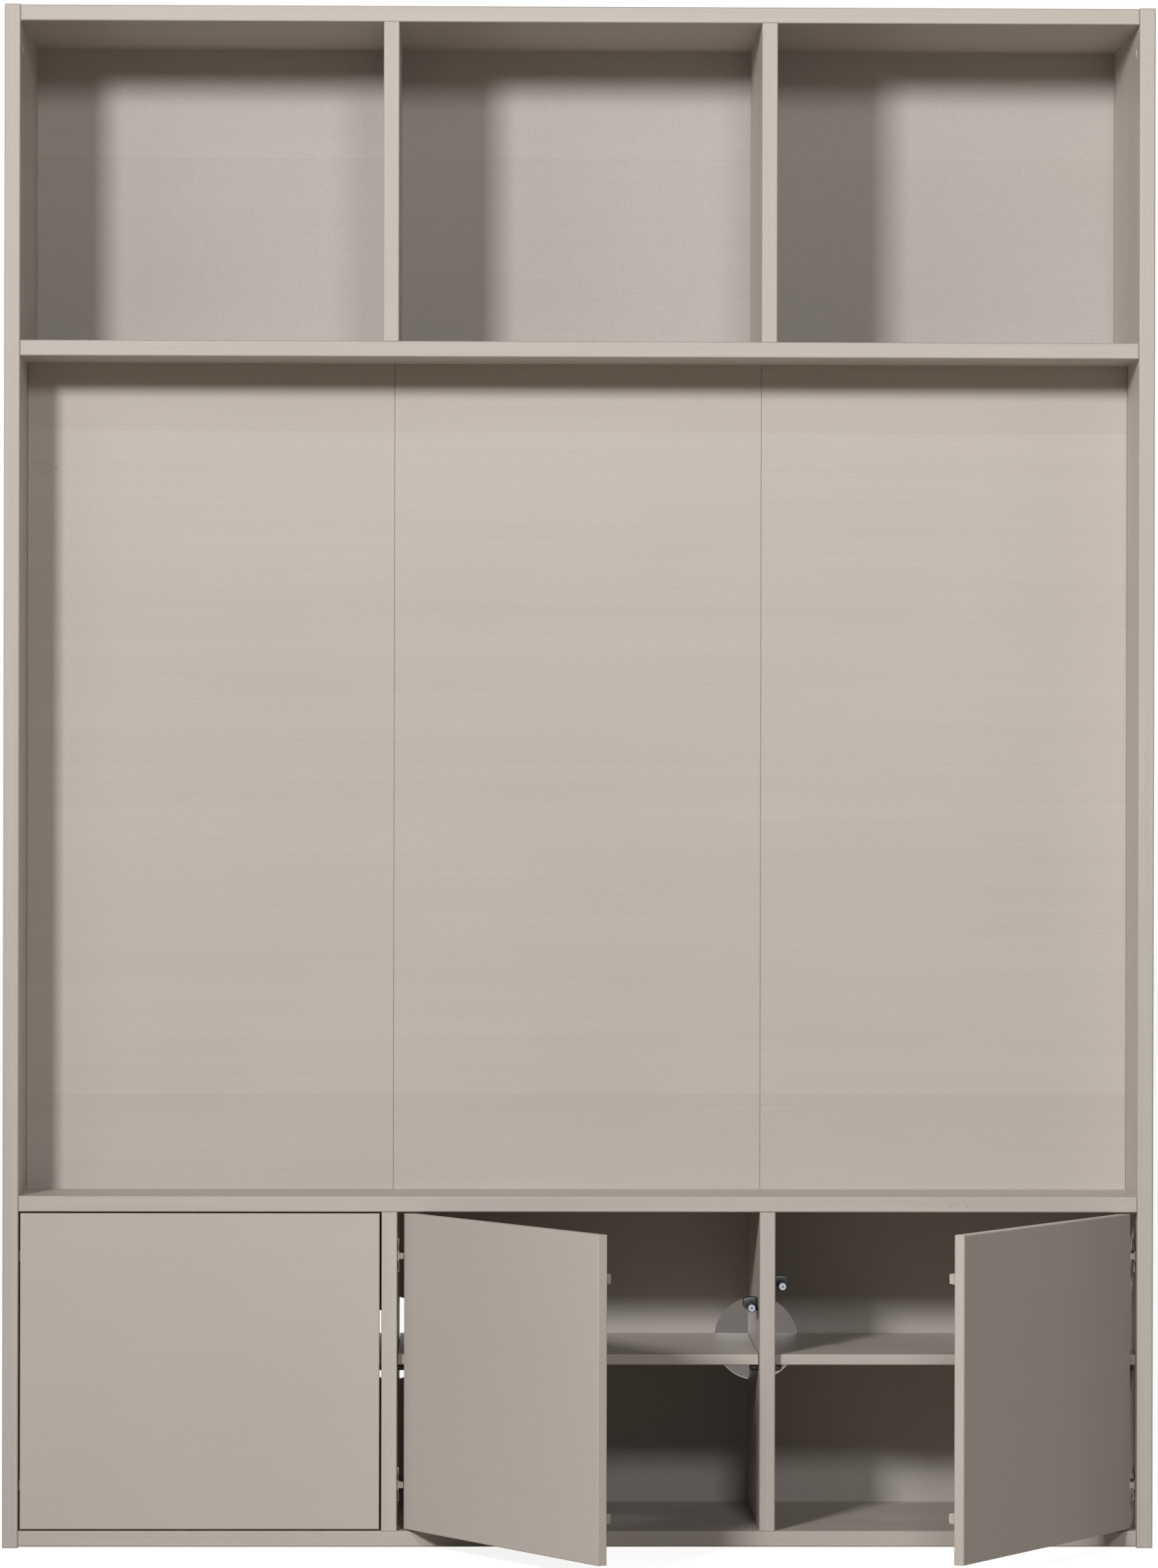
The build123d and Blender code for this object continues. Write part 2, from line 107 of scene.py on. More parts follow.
class Signal:
    """A number, colour or vector in a node tree, which sums and products can be made of."""

    def __init__(self, tree, socket=None):
        self.tree, self.socket = tree, socket

    def make(self, kind, settings=None, sockets=None, out=0):
        """Adds a node: its settings first, then the values or links of its sockets."""
        node = self.tree.nodes.new(kind)
        for name, value in (settings or {}).items():
            setattr(node, name, value)
        for name, value in (sockets or {}).items():
            if isinstance(value, Signal):
                self.tree.links.new(value.socket, node.inputs[name])
            else:
                node.inputs[name].default_value = value
        return Signal(self.tree, node.outputs[out])

    def reckon(self, operation, first, second=0.0):
        return self.make("ShaderNodeMath", {"operation": operation}, {0: first, 1: second})

    def __add__(self, other):
        return self.reckon("ADD", self, other)

    __radd__ = __add__

    def __sub__(self, other):
        return self.reckon("SUBTRACT", self, other)

    def __rsub__(self, other):
        return self.reckon("SUBTRACT", other, self)

    def __mul__(self, other):
        return self.reckon("MULTIPLY", self, other)

    __rmul__ = __mul__

    def __truediv__(self, other):
        return self.reckon("DIVIDE", self, other)

    def __abs__(self):
        return self.reckon("ABSOLUTE", self)

    def between(self, low, high):
        """0 below low, 1 above high, and a smooth rise from one to the other."""
        return self.make("ShaderNodeMapRange", {"interpolation_type": "SMOOTHSTEP"},
                         {"Value": self, "From Min": low, "From Max": high})

    def blend(self, colour, other):
        """colour where this is 0, and other where it is 1."""
        return self.make("ShaderNodeMix", {"data_type": "RGBA"}, {0: self, 6: colour, 7: other}, 2)

    def noise(self, place, stretch, detail=2.0, warp=0.0):
        """Noise from 0 to 1 with a number of grains to the metre along each axis."""
        spread = self.make("ShaderNodeMapping", sockets={"Vector": place, "Scale": stretch})
        return self.make("ShaderNodeTexNoise", sockets={
            "Vector": spread, "Scale": 1.0, "Detail": detail, "Distortion": warp})


def new_material(name):
    """An empty principled material, with a signal to start its node sums from."""
    material = bpy.data.materials.new(name)
    material.use_nodes = True
    tree = material.node_tree
    return material, tree.nodes["Principled BSDF"], Signal(tree)


def finish_with(node, **values):
    """Sets or links the shader's sockets; a name's underscores stand for spaces."""
    for name, value in values.items():
        socket = node.inputs[name.replace("_", " ")]
        if isinstance(value, Signal):
            value.tree.links.new(value.socket, socket)
        else:
            socket.default_value = value


def seen_by_camera(start):
    """1 for what the camera sees, straight, mirrored or through glass, and 0 for other rays."""
    sight = start.make("ShaderNodeLightPath", out="Is Camera Ray")
    for kind in ("Is Glossy Ray", "Is Transmission Ray"):
        sight = start.reckon("MAXIMUM", sight, start.make("ShaderNodeLightPath", out=kind))
    return sight


world = bpy.data.worlds.new("studio")
scene.world = world
world.use_nodes = True
sky = Signal(world.node_tree)
fill_strength, backdrop_strength = 0.01, 1.0
brightness = sky.make("ShaderNodeMix", sockets={
    "Factor": seen_by_camera(sky), "A": fill_strength, "B": backdrop_strength})
finish_with(world.node_tree.nodes["Background"], Color=(1, 1, 1, 1), Strength=brightness)

# The floor, plain and pale. It glows white for the camera, except in a narrow oval behind the
# unit, a painted shadow, which shows grey through a cable hole. The lamps behind the unit light
# neither the floor nor the shelves and lower dividers, which would shine in the holes.
floor_mesh = bpy.data.meshes.new("floor")
floor_mesh.from_pydata([(x * room_reach, y * room_reach, 0)
                        for x, y in ((-1, -1), (1, -1), (1, 1), (-1, 1))], [], [(0, 1, 2, 3)])
floor = place_new("floor", floor_mesh)
floor_paint, floor_shader, floor_start = new_material("pale_floor")
floor_place = floor_start.make("ShaderNodeTexCoord", out="Object")
sight = seen_by_camera(floor_start)
painted_shadow_middle, painted_shadow_halves = (0.39, 3.3, 0.0), (0.32, 2.0, 1.0)
in_painted_shadow = floor_start.make("ShaderNodeMapping", {"vector_type": "TEXTURE"}, {
    "Vector": floor_place, "Location": painted_shadow_middle, "Scale": painted_shadow_halves})
painted_shadow_reach = floor_start.make("ShaderNodeVectorMath", {"operation": "LENGTH"}, {0: in_painted_shadow}, "Value")
# Inside the oval the glow turns dark brown: a painted shadow on the floor.
glow_with_painted_shadow = painted_shadow_reach.between(0.62, 1.05).blend((0.075, 0.060, 0.048, 1), (0.84, 0.84, 0.84, 1))
dust = floor_start.noise(floor_place, (2.0, 2.0, 2.0))
floor_pale = dust.blend((0.60, 0.60, 0.60, 1), (0.68, 0.68, 0.68, 1))
finish_with(floor_shader, Base_Color=sight.blend((0.34, 0.29, 0.22, 1), floor_pale), Roughness=0.9,
            Emission_Color=sight.blend((0, 0, 0, 1), glow_with_painted_shadow), Emission_Strength=1.0)
floor_mesh.materials.append(floor_paint)

in_front_of_holes = ("left_cabinet_shelf", "middle_cabinet_shelf", "right_cabinet_shelf",
                     "lower_divider_left", "lower_divider_right")
beyond_back_lamps = bpy.data.collections.new("beyond_back_lamps")
for unlit in (floor, *(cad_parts[node] for node in in_front_of_holes)):
    beyond_back_lamps.objects.link(unlit)
    beyond_back_lamps.collection_objects[-1].light_linking.link_state = "EXCLUDE"
for lamp in back_lamps:
    lamp.light_linking.receiver_collection = beyond_back_lamps
    lamp.visible_glossy = False

# Side panels of solid pine staves, which stand on the floor and carry everything else. They are
# sprayed with a satin, warm grey-beige lacquer, through which the fibres, the staves' joints and
# a few knots show faintly. Its arrises are painted darker, partly as paint worn thin and partly
# as painted shade.
paint_shade = (0.462, 0.419, 0.376, 1)
paint_light = (0.562, 0.518, 0.476, 1)
# A dark colour for the staves' joints and for the arrises, where it is partly painted shade.
thin_paint_and_shade = (0.360, 0.300, 0.235, 1)
crack_brown = (0.215, 0.170, 0.130, 1)
side_stave = 0.098


def dress(node, material):
    """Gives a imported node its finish."""
    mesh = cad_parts[node].data
    mesh.materials.clear()
    mesh.materials.append(material)


def knot_cracks(place, knots):
    """Broken cracks round knots, given as a middle, half sizes and a width in shares of them."""
    flaw = 0.0
    for middle, halves, width in knots:
        away = place.make("ShaderNodeVectorMath", {"operation": "SUBTRACT"}, {0: place, 1: middle})
        away = place.make("ShaderNodeVectorMath", {"operation": "DIVIDE"}, {0: away, 1: halves})
        away = place.make("ShaderNodeVectorMath", {"operation": "LENGTH"}, {0: away}, "Value")
        away = away + (place.noise(place, (70.0, 70.0, 70.0)) - 0.5) * 0.9
        ring = 1 - abs(away - 1).between(0.3 * width, width)
        flaw = place.reckon("MAXIMUM", flaw, ring)
    return flaw * place.noise(place, (260.0, 260.0, 260.0)).between(0.46, 0.62)


def painted_pine(name, fibre_axis, stave_axis, stave_width, seed, grain=1.0, knots=(), swing=0.0,
                 gap=0.22, shade=paint_shade, light=paint_light):
    """Lacquer over pine staves, with fibres along one axis and staves side by side on another.

    grain and gap say how far the fibres and the staves' joints show, and swing how many degrees
    the piece stands open by.
    """
    material, shader, start = new_material(name)
    place = start.make("ShaderNodeTexCoord", out="Object")
    outward = start.make("ShaderNodeTexCoord", out="Normal")
    shut = {"Rotation": (0, 0, math.radians(swing))}
    place = start.make("ShaderNodeMapping", sockets={"Vector": place, **shut})
    outward = start.make("ShaderNodeMapping", {"vector_type": "VECTOR"},
                         {"Vector": outward, **shut})
    across = start.make("ShaderNodeSeparateXYZ", sockets={"Vector": place}, out=stave_axis)
    sheer = abs(start.make("ShaderNodeSeparateXYZ", sockets={"Vector": outward}, out="Y"))
    staves = across / stave_width + seed
    stave = start.reckon("FLOOR", staves)
    stave_tone = start.make("ShaderNodeTexWhiteNoise", {"noise_dimensions": "1D"}, {"W": stave},
                            "Value")
    to_joint = abs(start.reckon("FRACT", staves) - 0.5)
    joint = to_joint.between(0.5 - 0.0008 / stave_width, 0.5 - 0.0003 / stave_width)
    shift = start.make("ShaderNodeCombineXYZ", sockets={
        0: stave * 0.37, 1: stave * 0.53, 2: stave * 0.71})
    moved = start.make("ShaderNodeVectorMath", {"operation": "ADD"}, {0: place, 1: shift})
    fine = tuple(2.5 if axis == fibre_axis else 430.0 for axis in "XYZ")
    broad = tuple(0.5 if axis == fibre_axis else 24.0 for axis in "XYZ")
    fibre = start.noise(moved, fine, 3.0)
    rings = start.noise(moved, broad, 2.0, 0.5)
    cloud = start.noise(place, (2.3, 2.3, 2.3))
    mottle = start.noise(place, (420.0, 420.0, 420.0), 1.0)
    peel = start.noise(place, (1500.0, 1500.0, 1500.0), 1.0)
    tone = 0.5 + (fibre - 0.5) * (0.55 * grain) + (rings - 0.5) * (0.40 * grain)
    tone = tone + (cloud - 0.5) * 0.35 + (mottle - 0.5) * 0.65
    tone = tone + (stave_tone - 0.5) * (0.18 if gap else 0.0)
    colour = tone.between(0.0, 1.0).blend(shade, light)
    # Arrises, found by how far the normal slants, are darkened: partly worn paint, partly painted
    # shade.
    worn_and_shaded = sheer.between(0.10, 0.40) * (1 - sheer.between(0.72, 0.97)) * (0.14 + mottle * 0.30)
    colour = worn_and_shaded.blend(colour, thin_paint_and_shade)
    colour = (joint * gap).blend(colour, thin_paint_and_shade)
    rough = 0.45 + (cloud - 0.5) * 0.10 + (fibre - 0.5) * 0.06 + (mottle - 0.5) * 0.05
    height = fibre * (0.45 * grain) + peel * 0.30 + mottle * 0.25 - joint * (4.0 * gap)
    if knots:
        crack = knot_cracks(place, knots)
        colour = (crack * 0.34).blend(colour, crack_brown)
        height = height - crack * 1.6
    bump = start.make("ShaderNodeBump", sockets={
        "Height": height, "Strength": 0.22, "Distance": 0.0004})
    finish_with(shader, Base_Color=colour, Roughness=rough, Normal=bump, Specular_IOR_Level=0.12)
    return material


upright_paint = painted_pine("painted_uprights", "Z", "Y", side_stave, 0.31)
dress("left_side_panel", upright_paint)
dress("right_side_panel", upright_paint)

# Four boards across the whole width, of the same glued pine with the fibres from side to side.
# Their ends are glued into stopped housings in the side panels.
level_knots = (
    ((-0.7716, 0.019, 2.1285), (0.0030, 0.03, 0.0028), 0.30),
    ((-0.6531, 0.019, 2.1261), (0.0026, 0.03, 0.0024), 0.28),
    ((-0.7480, 0.019, 0.4856), (0.0024, 0.03, 0.0020), 0.50),
    ((0.5292, 0.019, 0.4762), (0.0120, 0.03, 0.0034), 0.22),
)
level_paint = painted_pine("painted_levels", "X", "Y", side_stave, 0.57, knots=level_knots)
for node in ("bottom_panel", "cabinet_top", "upper_shelf", "top_panel"):
    dress(node, level_paint)

# Short uprights that part the three bays above and below, housed in the wide boards and sprayed
# in the same lacquer. Their fibres run upwards.
for node in ("upper_divider_left", "upper_divider_right",
             "lower_divider_left", "lower_divider_right"):
    dress(node, upright_paint)

# Back panels of wide glued boards in a slightly greyer coat, let in flush between the side panels
# and nailed to the dividers' back edges with brads. The lower one has a round cable hole behind
# each divider.
back_stave = 0.468
back_shade = (0.434, 0.400, 0.368, 1)
back_light = (0.530, 0.496, 0.466, 1)
back_paint = painted_pine("painted_backs", "X", "Z", back_stave, 0.8034, 0.35, gap=0.16,
                          shade=back_shade, light=back_light)
dress("upper_back_panel", back_paint)
dress("lower_back_panel", back_paint)
same_point = 1e-6


def turned(name, profile, steps=24):
    """A closed shape turned about Z, from pairs of radius and height along its outline."""
    shape = bmesh.new()
    rings = []
    for radius, height in profile:
        count = steps if radius else 1
        turns = [math.tau * step / steps for step in range(count)]
        rings.append([shape.verts.new((radius * math.cos(turn), radius * math.sin(turn), height))
                      for turn in turns])
    for ring, other in zip(rings, rings[1:]):
        for step in range(steps):
            corners = (ring[step % len(ring)], ring[(step + 1) % len(ring)],
                       other[(step + 1) % len(other)], other[step % len(other)])
            corners = list(dict.fromkeys(corners))
            if len(corners) > 2:
                shape.faces.new(corners)
    return solid(name, shape)


def smooth_object(name, shape):
    """An object of a loose mesh, with sharp edges where its faces turn by over 32 degrees."""
    mesh = bpy.data.meshes.new(name)
    shape.to_mesh(mesh)
    shape.free()
    mesh.set_sharp_from_angle(angle=math.radians(32))
    return place_new(name, mesh)


def solid(name, shape):
    """An object of a closed mesh, its faces turned outwards and its round parts smooth."""
    bmesh.ops.remove_doubles(shape, verts=shape.verts, dist=same_point)
    bmesh.ops.recalc_face_normals(shape, faces=shape.faces)
    for face in shape.faces:
        face.smooth = True
    return smooth_object(name, shape)


def settle(piece):
    """Turns a piece's modifiers into its plain mesh, and takes them off."""
    finished = piece.evaluated_get(bpy.context.evaluated_depsgraph_get())
    plain = bpy.data.meshes.new_from_object(finished)
    piece.modifiers.clear()
    piece.data = plain
    return piece


def fixing_tree():
    """Sets a copy of one shape on each point, lying as the point says and spun at random."""
    tree = bpy.data.node_groups.new("fixings", "GeometryNodeTree")
    kinds = {"Places": "Geometry", "Shape": "Object", "Scale": "Float", "Spin": "Float",
             "Finish": "Material"}
    for label, kind in kinds.items():
        tree.interface.new_socket(label, in_out="INPUT", socket_type="NodeSocket" + kind)
    tree.interface.new_socket("Fixings", in_out="OUTPUT", socket_type="NodeSocketGeometry")
    start = Signal(tree)
    given = {label: start.make("NodeGroupInput", out=label) for label in kinds}
    lie = start.make("GeometryNodeInputNamedAttribute", {"data_type": "QUATERNION"},
                     {"Name": "lie"})
    amount = start.make("FunctionNodeRandomValue", {"data_type": "FLOAT"},
                        {3: given["Spin"], "Seed": 11}, 1)
    about = start.make("FunctionNodeAxisAngleToRotation", sockets={"Angle": amount})
    lie = start.make("FunctionNodeRotateRotation", {"rotation_space": "LOCAL"},
                     {"Rotation": lie, "Rotate By": about})
    shape = start.make("GeometryNodeObjectInfo", sockets={"Object": given["Shape"]}, out="Geometry")
    placed = start.make("GeometryNodeInstanceOnPoints", sockets={
        "Points": given["Places"], "Instance": shape, "Rotation": lie, "Scale": given["Scale"]})
    real = start.make("GeometryNodeRealizeInstances", sockets={"Geometry": placed})
    done = start.make("GeometryNodeSetMaterial", sockets={
        "Geometry": real, "Material": given["Finish"]})
    tree.links.new(done.socket, tree.nodes.new("NodeGroupOutput").inputs[0])
    return tree


fixings = fixing_tree()
fixing_inputs = {item.name: item.identifier for item in fixings.interface.items_tree
                 if item.in_out == "INPUT"}


def fasten(name, body, shape, finish, places, scale=1.0, spin=math.tau):
    """Fixes a copy of a shape at each place, which is a point and a turn, to one body."""
    points = bpy.data.meshes.new(name)
    points.from_pydata([point for point, lie in places], [], [])
    lies = points.attributes.new("lie", "QUATERNION", "POINT")
    for held, (point, lie) in zip(lies.data, places):
        held.value = lie
    piece = place_new(name, points)
    setting = piece.modifiers.new("fixings", "NODES")
    setting.node_group = fixings
    for label, value in (("Shape", shape), ("Scale", scale), ("Spin", spin), ("Finish", finish)):
        setting[fixing_inputs[label]] = value
    settle(piece)
    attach(piece, body)
    return piece


def facing(*way):
    """The turn that takes a shape's Z axis to a direction, with its Y axis as upright as can be."""
    return Vector(way).to_track_quat("Z", "Y")


def plain_finish(name, colour, metallic, roughness, speck):
    """A finish with fine specks of a given size in its tone, roughness and surface."""
    material, shader, start = new_material(name)
    place = start.make("ShaderNodeTexCoord", out="Object")
    grit = start.noise(place, (1 / speck,) * 3, 3.0)
    patch = start.noise(place, (60.0, 60.0, 60.0))
    rough = roughness + (grit - 0.5) * (0.25 * roughness) + (patch - 0.5) * (0.30 * roughness)
    shade = tuple(0.82 * v for v in colour[:3]) + (1,)
    tint = (grit * 0.6 + patch * 0.4).between(0.3, 0.7).blend(shade, colour)
    bump = start.make("ShaderNodeBump", sockets={
        "Height": grit, "Strength": 0.12, "Distance": 0.0001})
    finish_with(shader, Base_Color=tint, Roughness=rough, Normal=bump, Metallic=metallic)
    return material


# The nickel is coloured far darker than bright nickel, as painted shade for the dark room it mirrors.
shade_darkened_nickel = plain_finish("shade_darkened_nickel_plate", (0.22, 0.20, 0.18, 1), 1.0, 0.16, 0.0012)
zinc = plain_finish("zinc_plate", (0.42, 0.41, 0.40, 1), 1.0, 0.27, 0.0009)
brad_head = turned("brad_head", ((0, 0.0001), (0.0009, 0.00008), (0.0011, 0), (0.0006, -0.001),
                                 (0, -0.001)), 10)
half_board = 0.011
divider_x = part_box("upper_divider_right")[0].x + half_board
brads = []
for low, high in (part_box("upper_back_panel"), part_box("lower_back_panel")):
    for x in (-divider_x, divider_x):
        for share in (0.06, 0.27, 0.73, 0.94):
            brads.append(((x, side_high.y, low.z + (high.z - low.z) * share), facing(0, 1, 0)))
fasten("back_brads", "carcass", brad_head, zinc, brads)
bpy.data.objects.remove(brad_head)

# The niche's wall: three wide boards, edge to edge with eased edges, each glued up from three
# lengths that lie one above the other. One has an old knot by its left edge.
media_stave = 0.4685
media_knots = (
    ((-0.7620, 0.181, 1.5055), (0.0240, 0.03, 0.0064), 0.15),
    ((-0.7437, 0.181, 1.5049), (0.0022, 0.03, 0.0012), 0.70),
    ((-0.2875, 0.181, 0.6122), (0.0007, 0.03, 0.0007), 0.90),
)
media_paint = painted_pine("painted_media_wall", "X", "Z", media_stave, 0.6702, 0.6, media_knots,
                           gap=0.12)
for node in ("media_board_left", "media_board_centre", "media_board_right"):
    dress(node, media_paint)

# Two pine cleats behind the media wall, screwed to its boards, and the rail under the upper
# shelf through which the unit is screwed to the room's wall. They are sprayed like the rest.
for node in ("wall_rail", "media_cleat_lower", "media_cleat_upper"):
    dress(node, level_paint)


def cut(piece, *cutters):
    """Cuts shapes away from a piece, and throws the cutters away."""
    for cutter in cutters:
        step = piece.modifiers.new("cut", "BOOLEAN")
        step.operation = "DIFFERENCE"
        step.object = cutter
    settle(piece)
    for cutter in cutters:
        bpy.data.objects.remove(cutter)
    return piece


def cross_arm(name, length, width, depth, along_x):
    """One arm of a screw's cross recess: a block that narrows downwards."""
    shape = bmesh.new()
    bmesh.ops.create_cube(shape, size=1.0)
    for corner in shape.verts:
        narrow, rise = (1.0, 0.002) if corner.co.z > 0 else (0.45, -depth)
        across, along = corner.co.x * width, corner.co.y * length * narrow
        corner.co = (along, across, rise) if along_x else (across, along, rise)
    return solid(name, shape)


screw_profile = ((0, 0.0009), (0.0012, 0.00086), (0.0022, 0.0007), (0.0031, 0.00035), (0.0035, 0),
                 (0.0035, -0.0003), (0.0018, -0.0020), (0.0018, -0.0040), (0, -0.0040))
screw_head = cut(turned("screw_head", screw_profile),
                 cross_arm("cross_one", 0.0040, 0.0008, 0.0014, False),
                 cross_arm("cross_two", 0.0040, 0.0008, 0.0014, True))
cleat_screws = []
for low, high in (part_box("media_cleat_lower"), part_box("media_cleat_upper")):
    for sixths in (1, 3, 5):
        board_x = low.x + (high.x - low.x) * sixths / 6
        for offset in (-0.17, 0.17):
            spot = (board_x + offset, high.y, (low.z + high.z) / 2)
            cleat_screws.append((spot, facing(0, 1, 0)))
fasten("cleat_screws", "carcass", screw_head, zinc, cleat_screws)

# Three loose shelves, one in each cabinet. Each rests on four moulded pins, a sleeve of dark
# plastic with a rounded end round a steel core, which are pushed into sockets in the uprights.
bays = ("left", "middle", "right")
shelf_paint = painted_pine("painted_shelves", "X", "Y", 0.120, 0.18)
for bay in bays:
    dress(f"{bay}_cabinet_shelf", shelf_paint)
dark_sleeve = plain_finish("dark_sleeve", (0.020, 0.021, 0.023, 1), 0.0, 0.30, 0.0007)
pin_radius, pin_length = 0.0056, 0.0115
sleeve = turned("sleeve", (
    (0, -0.008), (0.0022, -0.008), (0.0025, -0.0075), (0.0025, 0), (pin_radius - 0.0006, 0),
    (pin_radius, 0.0006), (pin_radius, pin_length - 0.0028),
    (pin_radius - 0.0009, pin_length - 0.0009), (pin_radius - 0.0028, pin_length - 0.0001),
    (0.0016, pin_length - 0.0001), (0.0014, pin_length - 0.0006), (0, pin_length - 0.0006)), 32)
core = turned("core", (
    (0, pin_length - 0.002), (0.00135, pin_length - 0.002), (0.00135, pin_length - 0.0004),
    (0.0008, pin_length), (0, pin_length)), 16)
pin_low, pin_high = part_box("shelf_pins")
pin_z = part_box("left_cabinet_shelf")[0].z - pin_radius
shelf_clearance = 0.001
pin_spots = []
for bay in bays:
    shelf_low, shelf_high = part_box(f"{bay}_cabinet_shelf")
    for x, way in ((shelf_low.x - shelf_clearance, 1), (shelf_high.x + shelf_clearance, -1)):
        for y in (pin_low.y + pin_radius, pin_high.y - pin_radius):
            pin_spots.append(((x, y, pin_z), facing(way, 0, 0)))
sleeves = fasten("shelf_pin_sleeves", "carcass", sleeve, dark_sleeve, pin_spots)
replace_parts(sleeves, "shelf_pins")
fasten("shelf_pin_cores", "carcass", core, zinc, pin_spots)
bpy.data.objects.remove(sleeve)
bpy.data.objects.remove(core)

# Small moulded caps, slightly domed, stuck over the fixing holes in the side panels under the
# top. They are coloured to match the lacquer.
cap_plastic = plain_finish("cap_plastic", (0.56, 0.525, 0.475, 1), 0.0, 0.36, 0.0006)
cap_low, cap_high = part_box("cover_caps")
cap_radius = 0.007
cap = turned("cap", (
    (0, 0), (cap_radius, 0), (cap_radius, 0.0004), (cap_radius - 0.0004, 0.0009),
    (cap_radius - 0.0018, 0.0012), (0.003, 0.00138), (0, 0.0014)), 40)
cap_spots = [((x, y, (cap_low.z + cap_high.z) / 2), facing(way, 0, 0))
             for x, way in ((cap_low.x, 1), (cap_high.x, -1))
             for y in (cap_low.y + cap_radius, cap_high.y - cap_radius)]
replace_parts(fasten("domed_cover_caps", "carcass", cap, cap_plastic, cap_spots),
            "cover_caps")
bpy.data.objects.remove(cap)

# Three plain doors of smooth board, lacquered, with their arrises eased. Two battens with
# bevelled sides are glued across the back of each. The middle and right doors stand open.
open_angles = {"left": 0.0, "middle": 58.4, "right": 58.0}
hung_sides = {"left": 1, "middle": 1, "right": -1}
for bay, angle in open_angles.items():
    swing = hung_sides[bay] * angle
    dress(f"{bay}_door", painted_pine(
        f"painted_{bay}_door", "X", "Z", 0.46, 0.13, 0.22, swing=swing, gap=0.0))
    dress(f"{bay}_door_battens", painted_pine(
        f"painted_{bay}_battens", "X", "Z", 0.09, 0.4, 0.9, swing=swing))

# Two concealed hinges for each door, pressed from nickel-plated steel: a cup let into the door,
# a hooked link, and an arm on a winged plate that two screws hold to the upright.
link_share = 0.6
arm_pin = Vector((0.030, 0.026, 0))
cup_pin = Vector((0.0125, 0.0115, 0))
cup_spot, cup_screw_spot = (0.0239, 0.015), (0.0334, 0.016)
plate_screw_spot, arm_screw_spot = (0.0025, 0.037), (0.014, 0.0515)
cup_screw_offset, plate_screw_offset = 0.0225, 0.0175
hinge_from_end = 0.060
hinge_x = {"left": side_high.x, "middle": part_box("lower_divider_left")[1].x,
           "right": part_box("right_side_panel")[0].x}
door_low, door_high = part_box("left_door")
door_middle_z = (door_low.z + door_high.z) / 2
hinge_rise = (door_high.z - door_low.z) / 2 - hinge_from_end


def on_carcass(bay, across, inward, rise):
    """A point of the carcass beside a door, measured from the face that the door hangs on."""
    return Vector((hinge_x[bay] + hung_sides[bay] * across, side_low.y + inward,
                   door_middle_z + rise))


def on_door(bay, across, inward, rise):
    """A point of a door as it stands, from the place it has in the shut door."""
    angle = math.radians(open_angles[bay])
    spot = Vector((across, inward, 0)) - cup_pin
    spot = Matrix.Rotation(-(1 + link_share) * angle, 3, "Z") @ spot + cup_pin - arm_pin
    spot = Matrix.Rotation(link_share * angle, 3, "Z") @ spot + arm_pin
    return on_carcass(bay, spot.x, spot.y, rise)


def eased(node, body, width, finish):
    """A packed metal piece with its sheared edges rounded over, in the node's place."""
    shape = bmesh.new()
    shape.from_mesh(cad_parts[node].data)
    bmesh.ops.remove_doubles(shape, verts=shape.verts, dist=same_point)
    bmesh.ops.dissolve_limit(shape, angle_limit=math.radians(1), verts=shape.verts,
                             edges=shape.edges)
    piece = solid("eased_" + node, shape)
    piece.data.materials.clear()
    piece.data.materials.append(finish)
    round_over = piece.modifiers.new("round_over", "BEVEL")
    round_over.width = width
    round_over.segments = 2
    round_over.limit_method = "ANGLE"
    round_over.angle_limit = math.radians(35)
    round_over.use_clamp_overlap = False
    settle(piece)
    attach(piece, body)
    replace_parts(piece, node)


eased("hinge_plates", "carcass", 0.0003, shade_darkened_nickel)
eased("hinge_arms", "carcass", 0.0003, shade_darkened_nickel)
for bay in hinge_x:
    eased(f"{bay}_hinge_links", f"{bay}_links", 0.0002, shade_darkened_nickel)


def ease_edges(piece, width):
    """Rounds a piece's sharp edges over a little."""
    ease = piece.modifiers.new("ease", "BEVEL")
    ease.width, ease.segments, ease.limit_method = width, 2, "ANGLE"
    return settle(piece)


def join(parts):
    """One loose mesh of several pieces, each moved by its matrix; the pieces are taken away."""
    joined = bmesh.new()
    for part, lie in parts:
        part.data.transform(lie)
        joined.from_mesh(part.data)
        bpy.data.objects.remove(part)
    return joined


def cup_shape():
    """The hinge cup: a drawn bowl with a rolled rim, its flange, and the pin across it."""
    bowl = turned("bowl", (
        (0, -0.0113), (0.0156, -0.0113), (0.0170, -0.0108), (0.0174, -0.0095), (0.0174, 0),
        (0.0195, 0), (0.0195, 0.0007), (0.0191, 0.0011), (0.0172, 0.0011), (0.0166, 0.0007),
        (0.0164, 0), (0.0164, -0.0082), (0.0158, -0.0097), (0.0146, -0.0103), (0, -0.0103)), 48)
    flange = bmesh.new()
    bmesh.ops.create_cube(flange, size=1.0)
    thick = 0.0010
    for corner in flange.verts:
        corner.co = (0.007 + corner.co.x * 0.020, corner.co.y * 0.056, (0.5 + corner.co.z) * thick)
    upright = [edge for edge in flange.edges
               if abs(edge.verts[0].co.z - edge.verts[1].co.z) > thick / 2]
    bmesh.ops.bevel(flange, geom=upright, offset=0.004, segments=5, affect="EDGES", profile=0.5)
    hole = turned("hole", ((0, -0.01), (0.0168, -0.01), (0.0168, 0.01), (0, 0.01)), 48)
    flange = cut(ease_edges(solid("flange", flange), 0.0002), hole)
    pin = turned("pin", ((0, -0.0126), (0.0015, -0.0126), (0.0015, 0.0126), (0, 0.0126)), 16)
    across_bowl = (Matrix.Translation((cup_pin.x - cup_spot[0], 0, -0.0035))
                   @ Matrix.Rotation(math.pi / 2, 4, "X"))
    return smooth_object("cup", join(((bowl, Matrix()), (flange, Matrix()), (pin, across_bowl))))


